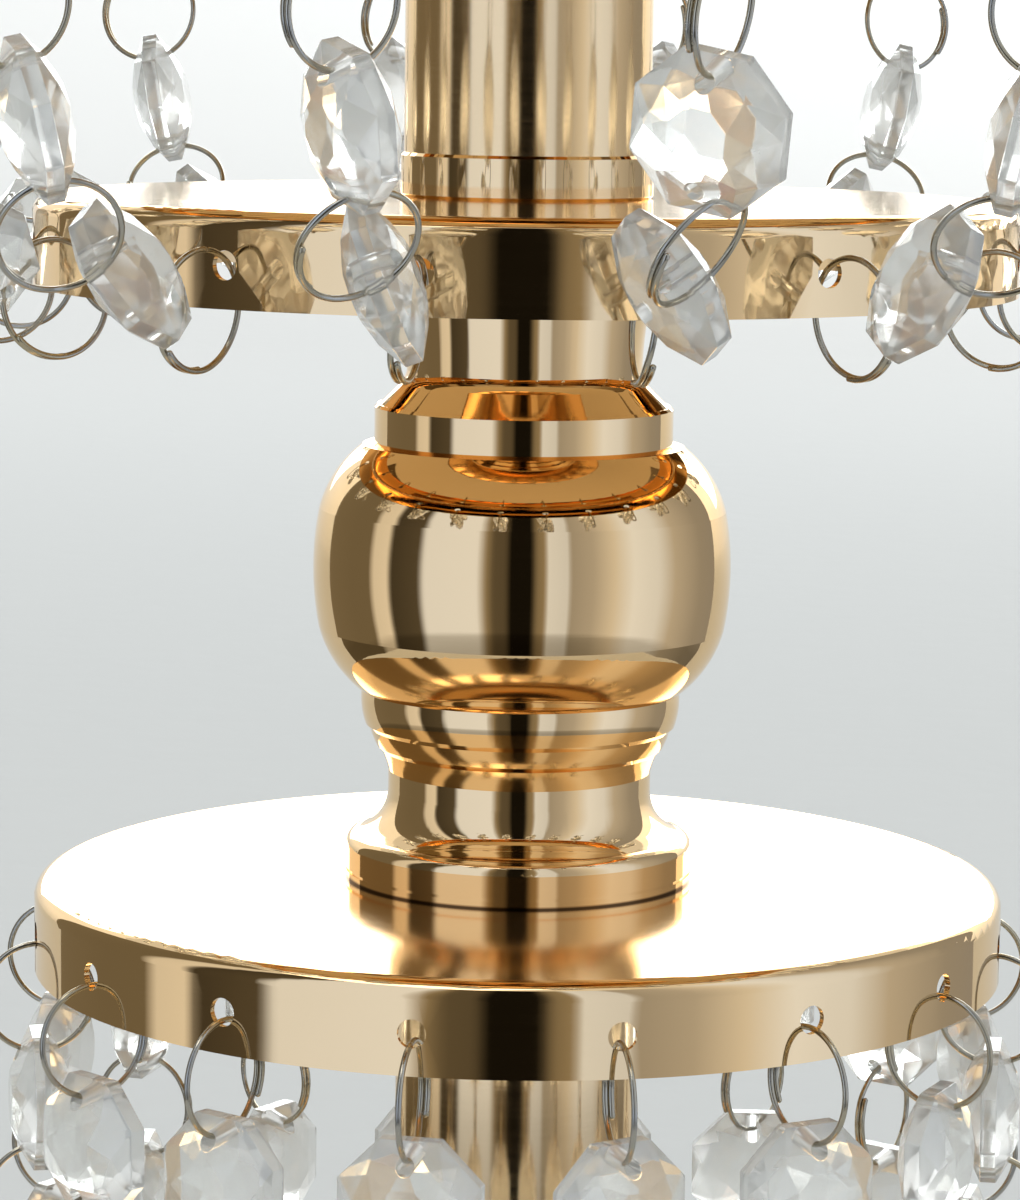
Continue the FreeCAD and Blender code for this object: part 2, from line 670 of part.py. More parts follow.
def build_baluster_cup():
    """Stepped bell that carries the ball."""
    body = new_body("baluster_cup", CUP_FOOT)
    first = half("cup_first_step_diameter")
    second = half("cup_second_step_diameter")
    revolve(body, "baluster_cup", [
        (ROD_HOLE, "Sizes.cup_height"),
        (ROD_HOLE, "0"),
        (half("waist_diameter"), "0"),
        (first, "Sizes.cup_first_step_level", "Sizes.cup_curve_radius", "right"),
        (f"({first} + Sizes.cup_step)", "(Sizes.cup_first_step_level + Sizes.cup_step)"),
        (second, "Sizes.cup_second_step_level", "Sizes.cup_curve_radius", "left"),
        (f"({second} + Sizes.cup_step)", "(Sizes.cup_second_step_level + Sizes.cup_step)"),
        (half("cup_mouth_diameter"), "Sizes.cup_height", "Sizes.cup_curve_radius", "left"),
    ])
    hollow_cylinder(body, "baluster_cup", f"({half('waist_diameter')} - Sizes.shell_wall)",
                    "Sizes.cup_height")


def build_baluster_ball():
    """Hollow ball with flat ends and quick shoulders."""
    body = new_body("baluster_ball", BALL_FOOT)
    end = half("ball_end_diameter")
    side = half("ball_side_diameter")
    height = "Sizes.ball_height"
    shoulder = "Sizes.ball_shoulder_height"
    shoulder_bend = "Sizes.ball_shoulder_radius"
    side_rise = f"({half('ball_diameter')} - {side})"
    side_bend = f"((({height} / 2 - {shoulder})^2 + {side_rise}^2) / (2 * {side_rise}))"
    revolve(body, "baluster_ball", [
        (ROD_HOLE, height),
        (ROD_HOLE, "0"),
        (end, "0"),
        (side, shoulder, shoulder_bend, "left"),
        (side, f"({height} - {shoulder})", side_bend, "left"),
        (end, height, shoulder_bend, "left"),
    ])
    inside_end = f"({end} - Sizes.shell_wall)"
    inside_rise = f"({half('ball_diameter')} - Sizes.shell_wall - {inside_end})"
    inside_bend = f"((({height} / 2 - Sizes.shell_cap)^2 + {inside_rise}^2) / (2 * {inside_rise}))"
    hollow(body, "baluster_ball", [
        ("0", f"({height} - Sizes.shell_cap)"),
        ("0", "Sizes.shell_cap"),
        (inside_end, "Sizes.shell_cap"),
        (inside_end, f"({height} - Sizes.shell_cap)", inside_bend, "left"),
    ])


def build_baluster_ring():
    """Plain turned band between the ball and the neck."""
    body = new_body("baluster_ring", RING_FOOT)
    side = half("ring_diameter")
    revolve(body, "baluster_ring", [
        (ROD_HOLE, "Sizes.ring_height"),
        (ROD_HOLE, "0"),
        (f"({side} - Sizes.ring_edge)", "0"),
        (side, "Sizes.ring_edge"),
        (side, "(Sizes.ring_height - Sizes.ring_edge)"),
        (f"({side} - Sizes.ring_edge)", "Sizes.ring_height"),
    ])


def build_baluster_neck():
    """Cone, narrow neck and the head that the upper disc rests on."""
    body = new_body("baluster_neck", NECK_FOOT)
    narrow = half("neck_diameter")
    head = half("neck_head_diameter")
    revolve(body, "baluster_neck", [
        (ROD_HOLE, NECK_HEIGHT),
        (ROD_HOLE, "0"),
        (half("cone_diameter"), "0"),
        (f"({narrow} + Sizes.cone_run_out)", "Sizes.cone_height"),
        (narrow, "(Sizes.cone_height + Sizes.cone_run_out * 2)", "Sizes.neck_foot_radius", "right"),
        (head, f"({NECK_HEIGHT} - Sizes.neck_head_height)", "Sizes.neck_flare_radius", "right"),
        (head, NECK_HEIGHT),
    ])
    hollow_cylinder(body, "baluster_neck", f"({narrow} - Sizes.shell_wall)", NECK_HEIGHT)


# --- Strands ---------------------------------------------------------------------------------

def build_bead():
    """Octagonal bead lying flat: two faces, bevels down to its edge, and two holes."""
    levels = [
        ("bead_face_width", "-Sizes.bead_height / 2"),
        ("bead_width", "-Sizes.bead_edge_height / 2"),
        ("bead_width", "Sizes.bead_edge_height / 2"),
        ("bead_face_width", "Sizes.bead_height / 2"),
    ]
    sections = []
    for index, (width, level) in enumerate(levels):
        section = doc.addObject("Part::RegularPolygon", f"bead_section_{index}")
        section.setExpression("Polygon", "Sizes.bead_sides")
        section.setExpression("Circumradius", f"Sizes.{width} / (2 * cos(180 / Sizes.bead_sides))")
        section.setExpression("Placement.Base.z", level)
        section.setExpression("Placement.Rotation.Angle", "180 / Sizes.bead_sides")
        sections.append(section)
    solid = doc.addObject("Part::Loft", "bead_solid")
    solid.Sections = sections
    solid.Solid = True
    solid.Ruled = True
    bead = solid
    for side in ("-", ""):
        drill = doc.addObject("Part::Cylinder", f"bead_drill_{len(side)}")
        drill.setExpression("Radius", half("bead_hole_diameter"))
        drill.setExpression("Height", "Sizes.bead_height")
        drill.setExpression("Placement.Base.x", f"{side}Sizes.bead_hole_spacing / 2")
        drill.setExpression("Placement.Base.z", "-Sizes.bead_height / 2")
        cut = doc.addObject("Part::Cut", f"bead_cut_{len(side)}")
        cut.Base = bead
        cut.Tool = drill
        bead = cut
    doc.recompute()
    return bead


def build_ring():
    """Ring of round wire, lying flat."""
    ring = doc.addObject("Part::Torus", "wire_ring")
    ring.setExpression("Radius1", "(Sizes.link_diameter - Sizes.wire_diameter) / 2")
    ring.setExpression("Radius2", half("wire_diameter"))
    doc.recompute()
    return ring


def ring_bend():
    """Radius of a ring along the middle of its wire."""
    return size("(Sizes.link_diameter - Sizes.wire_diameter) / 2")


def bead_reach():
    """Between the two wires in a bead's holes, pulled apart until they nearly bear."""
    narrowing = size("Sizes.bead_width - Sizes.bead_face_width") / 2
    slope = size("Sizes.bead_height - Sizes.bead_edge_height") / 2 / narrowing
    hole_from_face = size("Sizes.bead_hole_spacing - Sizes.bead_face_width") / 2
    half_depth = size(half("bead_height")) - slope * max(hole_from_face, 0.0)
    wire_rise = ring_bend() - math.sqrt(ring_bend() ** 2 - half_depth ** 2)
    play = size("(Sizes.bead_hole_diameter - Sizes.wire_diameter) / 2 - Sizes.bead_slack")
    return size("Sizes.bead_hole_spacing") + 2 * (play - wire_rise)


def bead_count():
    """Beads on one strand."""
    return int(size("Sizes.strand_beads"))


def chain_steps(hooked_at_both_ends):
    """Steps of a strand: from its hook to a ring's middle, over each bead to the next, and so on.

    A ring's wire lies square in the deep holes of the beads on both sides of it, so a strand
    bends only about the middles of its rings.
    """
    steps = [ring_bend()] + [bead_reach() + 2 * ring_bend()] * bead_count()
    if hooked_at_both_ends:
        steps.append(ring_bend())
    return steps


def hanging_slopes(pull, low_point):
    """Slope angle of each step, for a sideways pull and the beads carried below the low point."""
    carried = [0.0] + [index + 0.5 for index in range(bead_count())] + [float(bead_count())]
    return [math.atan((load - low_point) / pull) for load in carried]


def chain_span(steps, slopes):
    """How far along and how far up a chain reaches."""
    along = sum(step * math.cos(slope) for step, slope in zip(steps, slopes))
    up = sum(step * math.sin(slope) for step, slope in zip(steps, slopes))
    return along, up


def hang_between(steps, along, up):
    """Slopes of a chain that hangs freely between two hooks, found by Newton's method."""
    pull, low_point = 1.0, 1.0
    for _ in range(SOLVER_ROUNDS):
        reached = chain_span(steps, hanging_slopes(pull, low_point))
        miss = (reached[0] - along, reached[1] - up)
        if math.hypot(*miss) < SOLVER_CLOSE:
            break
        by_pull = chain_span(steps, hanging_slopes(pull + SOLVER_STEP, low_point))
        by_point = chain_span(steps, hanging_slopes(pull, low_point + SOLVER_STEP))
        a, c = [(by_pull[i] - reached[i]) / SOLVER_STEP for i in (0, 1)]
        b, d = [(by_point[i] - reached[i]) / SOLVER_STEP for i in (0, 1)]
        determinant = a * d - b * c
        pull_change = (miss[0] * d - b * miss[1]) / determinant
        point_change = (a * miss[1] - c * miss[0]) / determinant
        share = min(1.0, SOLVER_CAUTION * pull / max(abs(pull_change), SOLVER_CLOSE))
        pull -= share * pull_change
        low_point -= share * point_change
    return hanging_slopes(pull, low_point)


def rim_hook(kind, level, drop):
    """Radius and height of a wire in a rim hole, a given drop below the hole's centre."""
    radius = size(f"{half(kind + '_diameter')} - Sizes.{kind}_sheet / 2")
    height = size(f"{level} - Sizes.{kind}_rim_height + Sizes.{kind}_hole_margin") - drop
    return radius, height


def resting_drop():
    """How far below a rim hole's centre a hanging wire's centre lies."""
    return size("(Sizes.rim_hole_diameter - Sizes.wire_diameter) / 2 - Sizes.wire_rest_gap")


def lower_hook():
    """Where a lower strand hangs."""
    return rim_hook("disc", LOWER_DISC_LEVEL, resting_drop())


def garland_hooks():
    """Where a garland is hooked to the upper disc and to the cake plate."""
    return rim_hook("disc", UPPER_DISC_LEVEL, 0.0), rim_hook("plate", PLATE_LEVEL, resting_drop())


def place_link(link, radius, height, lean):
    """A copy of a ring or bead in the XZ plane."""
    shape = link.Shape.copy()
    shape.Placement = FreeCAD.Placement(FreeCAD.Vector(radius, 0, height), lean)
    return shape


def strand_shapes(steps, slopes, hook, bead, ring):
    """The solids of one strand in the XZ plane, from its hook on."""
    radius, height = hook
    upright = FreeCAD.Rotation(FreeCAD.Vector(1, 0, 0), QUARTER_TURN)
    shapes = []
    for index, (step, slope) in enumerate(zip(steps, slopes)):
        run = step * math.cos(slope)
        rise = step * math.sin(slope)
        if 1 <= index <= bead_count():
            lean = FreeCAD.Rotation(FreeCAD.Vector(0, -1, 0), math.degrees(slope))
            shapes.append(place_link(bead, radius + run / 2, height + rise / 2, lean))
        radius += run
        height += rise
        if index < len(steps) - 1:
            shapes.append(place_link(ring, radius, height, upright))
    return shapes


def build_strands(tier, steps, slopes, hook, bead, ring):
    """One node for each strand of a tier, in the rim holes' directions."""
    strand = Part.makeCompound(strand_shapes(steps, slopes, hook, bead, ring))
    count = int(size("Sizes.strand_count"))
    for index in range(count):
        name = f"{tier}_strand_{index + 1:02d}"
        turn = FULL_TURN * (index + 0.5) / count
        group = doc.addObject("Part::Feature", name)
        group.Label = name
        group.Shape = strand
        group.Placement = FreeCAD.Placement(
            FreeCAD.Vector(), FreeCAD.Rotation(FreeCAD.Vector(0, 0, 1), turn))
        pieces.append(group)


def build_all_strands():
    """Straight strands under the lower disc and garlands up to the cake plate."""
    bead = build_bead()
    ring = build_ring()
    hanging = chain_steps(hooked_at_both_ends=False)
    straight_down = [-math.pi / 2] * len(hanging)
    build_strands("lower", hanging, straight_down, lower_hook(), bead, ring)
    inner, outer = garland_hooks()
    garland = chain_steps(hooked_at_both_ends=True)
    slopes = hang_between(garland, outer[0] - inner[0], outer[1] - inner[1])
    build_strands("upper", garland, slopes, inner, bead, ring)


# --- Assembly --------------------------------------------------------------------------------

def build_all():
    """Every piece of the stand, from the table up."""
    build_rubber_feet()
    build_cover_screws()
    build_foot_cover()
    build_foot_weight()
    build_foot_shell()
    build_tie_rod()
    build_rod_washer()
    build_rod_nut()
    build_collar("lower_collar", "Sizes.foot_level")
    build_tube("lower_tube", LOWER_TUBE_FOOT, LOWER_TUBE_HEAD)
    build_bush("lower_tube_bush", LOWER_TUBE_HEAD, ROD_HOLE)
    build_disc("lower_disc", LOWER_DISC_LEVEL)
    build_baluster_foot()
    build_baluster_cup()
    build_baluster_ball()
    build_baluster_ring()
    build_baluster_neck()
    build_disc("upper_disc", UPPER_DISC_LEVEL)
    build_collar("upper_collar", UPPER_DISC_LEVEL)
    build_tube("upper_tube", UPPER_TUBE_FOOT, UPPER_TUBE_HEAD)
    build_bush("upper_tube_bush", UPPER_TUBE_HEAD,
               f"({half('boss_hub_diameter')} + Sizes.spigot_clearance)")
    build_plate_boss()
    build_cake_plate()
    build_all_strands()


def check_everything():
    """Stops before anything is written if an object failed or a piece is not sound."""
    doc.recompute()
    for item in doc.Objects:
        if {"Invalid", "Error"} & set(item.State):
            raise RuntimeError(f"{item.Label} failed: {item.State}")
    for piece in pieces:
        if piece.Shape.isNull() or not piece.Shape.isValid() or not piece.Shape.Solids:
            raise RuntimeError(f"{piece.Label} has no sound shape")
        if len(piece.Label) > NAME_LIMIT:
            raise RuntimeError(f"{piece.Label} is too long a name")


def export_everything():
    """Writes each piece to its own file."""
    os.makedirs(PARTS_FOLDER, exist_ok=True)
    for piece in pieces:
        piece.Shape.exportStep(os.path.join(PARTS_FOLDER, f"{piece.Label}.step"))


build_all()
check_everything()
export_everything()
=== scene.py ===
import json
import math
import random

import bmesh
import bpy
from mathutils import Matrix, Vector


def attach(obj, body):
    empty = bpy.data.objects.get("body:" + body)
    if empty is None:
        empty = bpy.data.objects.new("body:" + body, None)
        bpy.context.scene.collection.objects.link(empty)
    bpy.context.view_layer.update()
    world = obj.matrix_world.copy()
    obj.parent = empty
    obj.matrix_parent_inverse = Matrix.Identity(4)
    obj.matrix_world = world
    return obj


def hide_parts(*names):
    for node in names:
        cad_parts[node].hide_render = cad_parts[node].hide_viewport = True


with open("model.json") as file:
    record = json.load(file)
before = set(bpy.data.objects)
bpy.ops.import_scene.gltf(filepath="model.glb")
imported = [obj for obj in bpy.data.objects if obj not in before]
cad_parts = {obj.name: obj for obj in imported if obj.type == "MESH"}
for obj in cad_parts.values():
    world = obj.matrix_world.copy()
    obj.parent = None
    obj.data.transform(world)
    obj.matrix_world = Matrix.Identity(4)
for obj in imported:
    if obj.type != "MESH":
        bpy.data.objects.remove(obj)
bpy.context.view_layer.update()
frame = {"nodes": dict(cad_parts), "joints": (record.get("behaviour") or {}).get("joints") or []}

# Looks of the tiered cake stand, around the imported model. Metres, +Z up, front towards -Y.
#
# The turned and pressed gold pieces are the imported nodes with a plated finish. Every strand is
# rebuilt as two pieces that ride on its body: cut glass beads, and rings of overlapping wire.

MM = 0.001

# Beads and rings, as in the design.
BEAD_SIDES = 8
BEAD_WIDTH = 14.0 * MM
BEAD_HEIGHT = 6.0 * MM
BEAD_EDGE_HEIGHT = 1.6 * MM
BEAD_FACE_WIDTH = 5.4 * MM
BEAD_HOLE_SPACING = 9.6 * MM
BEAD_HOLE_DIAMETER = 1.8 * MM
BEAD_HOLE_SEGMENTS = 20
BEAD_EDGE_BREAK = 0.07 * MM
BEAD_EDGE_ANGLE = 12.0
# A ring of facets between a bead's face and its edge: their corners' height and reach.
FACET_CORNER_WIDTH = 10.6 * MM
FACET_CORNER_HEIGHT = 4.3 * MM
LINK_DIAMETER = 12.0 * MM
WIRE_DIAMETER = 0.6 * MM
# A ring is wound a little over one turn, like a key ring, so that its ends lie side by side.
RING_TURNS = 1.16
RING_SEGMENTS = 72
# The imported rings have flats, and these finer ones stay inside them.
RING_TRIM = 0.07 * MM
WIRE_SIDES = 10
# Each end of the wire tapers to this share of its thickness over this share of its radius.
WIRE_END_ROUNDING = 0.35
WIRE_END_LENGTH = 0.6
# Each end steps aside by this share of the wire's width.
WIRE_SIDESTEP = 0.51

# Painted shade in the corner between the column's flange and the disc: the plating's colour darkens there.
FLANGE_RADIUS = 18.15 * MM
SEAM_HEIGHT = 0.36 * MM
SEAM_WIDTH = 0.9 * MM
SEAM_CORE = 0.35

# How far each tier's chain turns about itself, in degrees, from its hook on: ring, bead, ring...
LOWER_TURNS = [0, 6, 10, 16, 20, 24, 28, 30]
UPPER_TURNS = [5, 58, 54, 44, 32, 22, 14, 8, 0]
LOWER_STRAY = 16.0
UPPER_STRAY = 10.0
STRAY_SEED = 7

CAMERA_DISTANCE = 0.420
CAMERA_HEIGHT = 0.217
CAMERA_SIDE = -0.0012
CAMERA_PITCH = 7.85
CAMERA_ROLL = 0.75
CAMERA_LENS = 121.9
SENSOR = 36.0


# --- Node helpers ---

class Nodes:
    """A small wrapper that makes and joins the nodes of one material."""

    def __init__(self, tree):
        self.tree = tree

    def add(self, kind, inputs=None, **settings):
        node = self.tree.nodes.new(kind)
        for name, value in settings.items():
            setattr(node, name, value)
        for name, value in (inputs or {}).items():
            self.put(node, name, value)
        return node

    def put(self, node, name, value):
        """A number or colour sets a socket; another node's socket is linked to it."""
        if isinstance(value, bpy.types.NodeSocket):
            self.tree.links.new(value, node.inputs[name])
        else:
            node.inputs[name].default_value = value

    def math(self, operation, first, second=0.0):
        node = self.add("ShaderNodeMath", operation=operation)
        self.put(node, 0, first)
        self.put(node, 1, second)
        return node.outputs[0]

    def split(self, vector):
        """The X, Y and Z parts of a vector."""
        return self.add("ShaderNodeSeparateXYZ", {"Vector": vector}).outputs

    def reach(self, x, y):
        """Distance from the Z axis."""
        square = self.math("ADD", self.math("MULTIPLY", x, x), self.math("MULTIPLY", y, y))
        return self.math("SQRT", square)

    def noise(self, place, scale, detail=2.0, roughness=0.5):
        node = self.add("ShaderNodeTexNoise", {
            "Vector": place, "Scale": scale, "Detail": detail, "Roughness": roughness})
        return node.outputs["Fac"]

    def spread(self, value, low, high, start=0.3, end=0.7):
        """Maps a noise value to the range from low to high."""
        node = self.add("ShaderNodeMapRange", {
            "Value": value, "From Min": start, "From Max": end, "To Min": low, "To Max": high})
        return node.outputs["Result"]

    def blend(self, share, first, second):
        node = self.add("ShaderNodeMix", data_type="RGBA")
        self.put(node, "Factor", share)
        self.put(node, 6, first)
        self.put(node, 7, second)
        return node.outputs[2]

    def bump(self, height, distance, strength=1.0, normal=None):
        node = self.add("ShaderNodeBump", {
            "Height": height, "Distance": distance, "Strength": strength})
        if normal is not None:
            self.put(node, "Normal", normal)
        return node.outputs["Normal"]


def colour(red, green, blue):
    return (red, green, blue, 1.0)


def new_material(name):
    """A material with a principled shader, its nodes, and the coordinates of the object."""
    material = bpy.data.materials.new(name)
    material.use_nodes = True
    material.node_tree.nodes.clear()
    nodes = Nodes(material.node_tree)
    shader = nodes.add("ShaderNodeBsdfPrincipled")
    output = nodes.add("ShaderNodeOutputMaterial")
    material.node_tree.links.new(shader.outputs["BSDF"], output.inputs["Surface"])
    place = nodes.add("ShaderNodeTexCoord").outputs["Object"]
    return material, nodes, shader, place


def around_the_axis(nodes, place, ring_scale, turn_scale):
    """Coordinates that run along the lathe's marks: radius and height, and a little of the angle."""
    x, y, z = nodes.split(place)
    angle = nodes.math("ARCTAN2", y, x)
    joined = nodes.add("ShaderNodeCombineXYZ", {
        "X": nodes.math("MULTIPLY", nodes.reach(x, y), ring_scale),
        "Y": nodes.math("MULTIPLY", z, ring_scale),
        "Z": nodes.math("MULTIPLY", angle, turn_scale)})
    return joined.outputs["Vector"]


def seam_share(nodes, place, seam):
    """One close to a seam, which is a circle of the given height and radius, and zero away from it."""
    x, y, z = nodes.split(place)
    shares = []
    for value, middle, width in zip((z, nodes.reach(x, y)), seam, (SEAM_HEIGHT, SEAM_WIDTH)):
        away = nodes.math("ABSOLUTE", nodes.math("SUBTRACT", value, middle))
        shares.append(nodes.spread(away, 1.0, 0.0, SEAM_CORE * width, width))
    return nodes.math("MULTIPLY", *shares)


# --- Finishes ---

def flange_seam():
    """Height and radius of the corner between the column's flange and the lower disc."""
    disc = frame["nodes"]["lower_disc"].data
    return max(vertex.co.z for vertex in disc.vertices), FLANGE_RADIUS


def gold_finish(name, roughness, seam):
    """Champagne gold plating on polished steel, with faint spinning marks, ripples and handling, and
    painted shade in the corner at the given seam.
    """
    material, nodes, shader, place = new_material(name)
    tone = nodes.spread(nodes.noise(place, 24.0, 4.0), 0.0, 1.0)
    smudges = nodes.spread(nodes.noise(place, 70.0, 5.0, 0.6), 0.0, 1.0, 0.48, 0.78)
    plating = nodes.blend(tone, colour(0.905, 0.63, 0.33), colour(0.925, 0.66, 0.36))
    worn = nodes.blend(nodes.math("MULTIPLY", smudges, 0.22), plating, colour(0.85, 0.61, 0.32))
    # Painted shade: close to the seam the base colour is blended towards dark brown, standing in for the
    # shadow in the corner between flange and disc.
    painted_corner_shade = nodes.math("MULTIPLY", seam_share(nodes, place, seam), 0.9)
    nodes.put(shader, "Base Color", nodes.blend(painted_corner_shade, worn, colour(0.13, 0.06, 0.02)))
    nodes.put(shader, "Metallic", 1.0)
    nodes.put(shader, "Specular Tint", colour(1.0, 0.97, 0.92))
    marks = nodes.noise(around_the_axis(nodes, place, 2600.0, 0.8), 1.0, 3.0, 0.65)
    fine = nodes.spread(marks, *roughness, 0.35, 0.7)
    worn_spots = nodes.math("MULTIPLY", smudges, 0.035)
    # Faces that look up have been wiped and set down on, so they are a little duller.
    facing = nodes.add("ShaderNodeNewGeometry").outputs["Normal"]
    upward = nodes.math("MAXIMUM", nodes.split(facing)["Z"], 0.0)
    dulled = nodes.math("MULTIPLY", nodes.math("POWER", upward, 12.0), 0.085)
    nodes.put(shader, "Roughness", nodes.math("ADD", nodes.math("ADD", fine, worn_spots), dulled))
    ripple = nodes.bump(nodes.noise(place, 95.0, 1.5), 1.1e-5)
    nodes.put(shader, "Normal", nodes.bump(marks, 1.2e-6, 0.6, ripple))
    return material


def crystal_finish():
    """Clear cut glass with a slight grey cast and small flaws in its polished faces."""
    material, nodes, shader, place = new_material("cut_glass")
    cast = nodes.spread(nodes.noise(place, 160.0, 3.0), 0.0, 1.0)
    nodes.put(shader, "Base Color", nodes.blend(
        cast, colour(0.93, 0.945, 0.93), colour(0.96, 0.96, 0.94)))
    nodes.put(shader, "Transmission Weight", 0.84)
    nodes.put(shader, "IOR", 1.5)
    nodes.put(shader, "Roughness", nodes.spread(nodes.noise(place, 420.0, 4.0), 0.13, 0.21, 0.4, 0.7))
    nodes.put(shader, "Normal", nodes.bump(nodes.noise(place, 210.0, 2.0), 1.4e-5))
    return material


def wire_finish():
    """Nickel plated spring wire, brassy where the plating is thin, with drawing marks."""
    material, nodes, shader, place = new_material("nickel_wire")
    thin = nodes.spread(nodes.noise(place, 130.0, 4.0), 0.0, 1.0, 0.4, 0.65)
    nodes.put(shader, "Base Color", nodes.blend(
        thin, colour(0.44, 0.42, 0.37), colour(0.50, 0.43, 0.29)))
    nodes.put(shader, "Metallic", 1.0)
    nodes.put(shader, "Roughness", nodes.spread(nodes.noise(place, 900.0, 3.0), 0.12, 0.28))
    nodes.put(shader, "Normal", nodes.bump(nodes.noise(place, 2400.0, 2.0), 6.0e-6))
    return material


def plain_finish(name, metallic, shades, roughness, grain, depth):
    """A finish with two shades, a range of roughness and a surface grain."""
    material, nodes, shader, place = new_material(name)
    nodes.put(shader, "Base Color", nodes.blend(
        nodes.spread(nodes.noise(place, grain / 6.0, 5.0), 0.0, 1.0), *shades))
    nodes.put(shader, "Metallic", metallic)
    nodes.put(shader, "Roughness", nodes.spread(nodes.noise(place, grain / 2.0, 4.0), *roughness))
    nodes.put(shader, "Normal", nodes.bump(nodes.noise(place, grain, 4.0, 0.6), depth))
    return material


def all_finishes():
    """Finish for each material slot of the record."""
    return {
        "gold_plate": gold_finish("champagne_gold_plating", (0.022, 0.05), flange_seam()),
        "crystal": crystal_finish(),
        "zinc_steel": plain_finish(
            "zinc_plated_steel", 1.0, (colour(0.55, 0.57, 0.60), colour(0.70, 0.71, 0.72)),
            (0.22, 0.42), 1500.0, 8.0e-6),
        "cast_iron": plain_finish(
            "painted_cast_iron", 0.0, (colour(0.018, 0.018, 0.02), colour(0.045, 0.042, 0.04)),
            (0.45, 0.75), 900.0, 1.2e-4),
        "black_sheet": plain_finish(
            "black_enamelled_sheet", 0.0, (colour(0.010, 0.010, 0.011), colour(0.02, 0.02, 0.021)),
            (0.28, 0.45), 1800.0, 1.5e-5),
        "rubber": plain_finish(
            "grey_rubber", 0.0, (colour(0.03, 0.03, 0.03), colour(0.055, 0.055, 0.055)),
            (0.6, 0.85), 1600.0, 4.0e-5),
        "bush_plastic": plain_finish(
            "black_nylon", 0.0, (colour(0.015, 0.015, 0.016), colour(0.03, 0.03, 0.03)),
            (0.4, 0.6), 1200.0, 2.0e-5),
    }


def dress_nodes(finishes):
    """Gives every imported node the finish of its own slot; the drawn tubes are less polished."""
    drawn = gold_finish("champagne_gold_tube", (0.08, 0.13), flange_seam())
    for name, node in frame["nodes"].items():
        for slot in node.material_slots:
            slot.material = finishes[slot.material.name.split(".")[0]]
            if name.endswith("_tube"):
                slot.material = drawn


# --- Strands ---

def ring_of_points(mesh, width, height, turned):
    """Eight points round the Z axis; width is over the flats, or over the points if turned."""
    step = 2 * math.pi / BEAD_SIDES
    reach = width / 2 if turned else width / 2 / math.cos(step / 2)
    start = 0.0 if turned else step / 2
    return [mesh.verts.new((reach * math.cos(start + i * step), reach * math.sin(start + i * step), height))
            for i in range(BEAD_SIDES)]


def bead_blank():
    """An octagonal bead's facets, before its holes are drilled."""
    mesh = bmesh.new()
    for side in (-1, 1):
        ring_of_points(mesh, BEAD_WIDTH, side * BEAD_EDGE_HEIGHT / 2, False)
        ring_of_points(mesh, FACET_CORNER_WIDTH, side * FACET_CORNER_HEIGHT / 2, True)
        ring_of_points(mesh, BEAD_FACE_WIDTH, side * BEAD_HEIGHT / 2, False)
    hull = bmesh.ops.convex_hull(mesh, input=mesh.verts)
    bmesh.ops.delete(mesh, geom=[v for v in hull["geom_unused"] if v.is_valid], context="VERTS")
    bmesh.ops.dissolve_limit(mesh, angle_limit=math.radians(0.5), verts=mesh.verts, edges=mesh.edges)
    bmesh.ops.recalc_face_normals(mesh, faces=mesh.faces)
    return mesh


def bead_mesh():
    """The bead with its two holes cut through and its edges just broken."""
    blank = bead_blank()
    data = bpy.data.meshes.new("bead_form")
    blank.to_mesh(data)
    blank.free()
    bead = bpy.data.objects.new("bead_form", data)
    bpy.context.scene.collection.objects.link(bead)
    tools = []
    for side in (-1, 1):
        drill = bmesh.new()
        bmesh.ops.create_cone(
            drill, cap_ends=True, segments=BEAD_HOLE_SEGMENTS, radius1=BEAD_HOLE_DIAMETER / 2,
            radius2=BEAD_HOLE_DIAMETER / 2, depth=2 * BEAD_HEIGHT,
            matrix=Matrix.Translation((side * BEAD_HOLE_SPACING / 2, 0, 0)))
        drill_data = bpy.data.meshes.new("drill_form")
        drill.to_mesh(drill_data)
        drill.free()
        tool = bpy.data.objects.new("drill_form", drill_data)
        bpy.context.scene.collection.objects.link(tool)
        cut = bead.modifiers.new("hole", "BOOLEAN")
        cut.operation = "DIFFERENCE"
        cut.solver = "EXACT"
        cut.object = tool
        tools.append(tool)
    edge = bead.modifiers.new("edge", "BEVEL")
    edge.width = BEAD_EDGE_BREAK
    edge.segments = 1
    edge.limit_method = "ANGLE"
    edge.angle_limit = math.radians(BEAD_EDGE_ANGLE)
    bpy.context.view_layer.update()
    shaped = bead.evaluated_get(bpy.context.evaluated_depsgraph_get()).to_mesh().copy()
    for old in [bead, *tools]:
        bpy.data.objects.remove(old)
    return shaped


